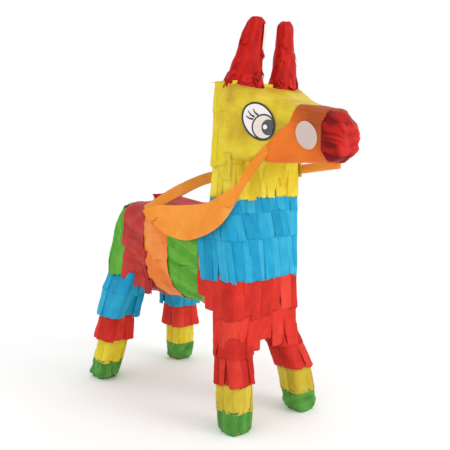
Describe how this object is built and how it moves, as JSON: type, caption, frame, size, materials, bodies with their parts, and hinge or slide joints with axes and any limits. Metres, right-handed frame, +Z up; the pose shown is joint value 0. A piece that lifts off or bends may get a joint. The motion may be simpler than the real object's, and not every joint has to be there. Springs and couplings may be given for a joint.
{
  "type": "donkey pinata",
  "caption": "Free-standing or hanging paper donkey pinata: hollow cardboard body in bright fringed crepe paper, with a fill flap on the back and a wire hanging ring.",
  "frame": {"origin": "on the floor under the middle of the bounding box", "axes": "+Z up, the donkey faces -Y, its left side is +X"},
  "size_m": [0.1952, 0.481, 0.554],
  "materials": {
    "cardboard": "matte",
    "yellow_crepe": "matte",
    "blue_crepe": "matte",
    "red_crepe": "matte",
    "crimson_crepe": "matte",
    "green_crepe": "matte",
    "orange_crepe": "matte",
    "sticker_paper": "matte",
    "wire": "satin"
  },
  "bodies": {
    "donkey": {"side_panel_right": "cardboard", "side_panel_left": "cardboard", "neck_front_panel": "cardboard", "neck_rear_panel": "cardboard", "barrel_bulkhead": "cardboard", "chest_floor": "cardboard", "chest_rear_panel": "cardboard", "head_top_panel": "cardboard", "jaw_panel": "cardboard", "cheek_panel_right": "cardboard", "cheek_panel_left": "cardboard", "barrel_flank_right": "cardboard", "barrel_flank_left": "cardboard", "back_panel": "cardboard", "rump_cap": "cardboard", "hanger_plate": "cardboard", "front_leg_tube_right": "cardboard", "front_leg_tube_left": "cardboard", "hind_leg_tube_right": "cardboard", "hind_leg_tube_left": "cardboard", "neck_cover": "yellow_crepe", "face_cover": "yellow_crepe", "front_sock_right": "yellow_crepe", "front_sock_left": "yellow_crepe", "hind_sock_right": "yellow_crepe", "hind_sock_left": "yellow_crepe", "blue_fringe_upper": "blue_crepe", "blue_fringe_middle": "blue_crepe", "blue_fringe_lower": "blue_crepe", "thigh_fringe_right": "blue_crepe", "thigh_fringe_left": "blue_crepe", "chest_fringe": "red_crepe", "front_leg_fringe_right": "red_crepe", "front_leg_fringe_left": "red_crepe", "hock_fringe_right": "red_crepe", "hock_fringe_left": "red_crepe", "back_strip": "red_crepe", "ear_right": "red_crepe", "ear_left": "red_crepe", "nose_cap": "red_crepe", "band_crimson": "crimson_crepe", "band_green": "green_crepe", "rump_cover": "green_crepe", "front_hoof_right": "green_crepe", "front_hoof_left": "green_crepe", "hind_hoof_right": "green_crepe", "hind_hoof_left": "green_crepe", "band_orange": "orange_crepe", "muzzle_wrap": "orange_crepe", "rein_right": "orange_crepe", "rein_left": "orange_crepe", "eye_sticker_right": "sticker_paper", "eye_sticker_left": "sticker_paper", "nostril_sticker_right": "sticker_paper", "nostril_sticker_left": "sticker_paper", "hanger_staple": "wire"},
    "fill_flap": {"fill_flap": "red_crepe"},
    "hanger_ring": {"hanger_ring": "wire"}
  },
  "joints": [
    {"name": "fill_flap_hinge", "type": "hinge", "parent": "donkey", "child": "fill_flap", "pos_m": [0, 0.069, 0.2943], "axis": [1, 0, 0], "range_deg": [-7, 80]},
    {"name": "hanger_ring_swing", "type": "hinge", "parent": "donkey", "child": "hanger_ring", "pos_m": [0, 0, 0.2965], "axis": [1, 0, 0], "range_deg": [0, 180]}
  ]
}
